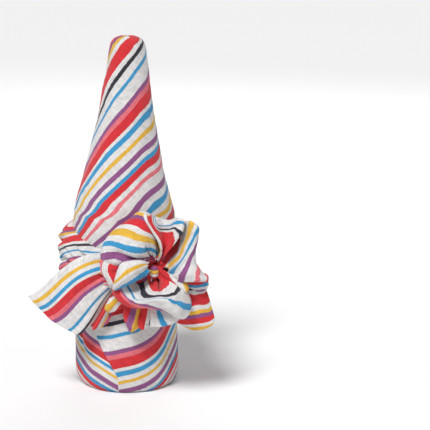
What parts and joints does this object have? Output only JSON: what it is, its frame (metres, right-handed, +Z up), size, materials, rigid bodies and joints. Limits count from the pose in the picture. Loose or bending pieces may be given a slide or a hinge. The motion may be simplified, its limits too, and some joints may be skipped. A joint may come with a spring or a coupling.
{
  "type": "furoshiki wrap",
  "caption": "Furoshiki wrap: a square cloth wound round a tall bottle shape, narrow at the top, and tied round the middle in an open flower knot with loose ends.",
  "frame": {"origin": "middle of the flat base under the wound cloth", "axes": "+Z up along the bottle, -Y towards the knot, +X to the right of the knot as it is seen"},
  "size_m": [0.1537, 0.1347, 0.294],
  "materials": {
    "striped_cotton": "matt striped cotton with a slubby weave"
  },
  "bodies": {
    "root": {"furoshiki_cloth": "striped_cotton"}
  },
  "joints": []
}
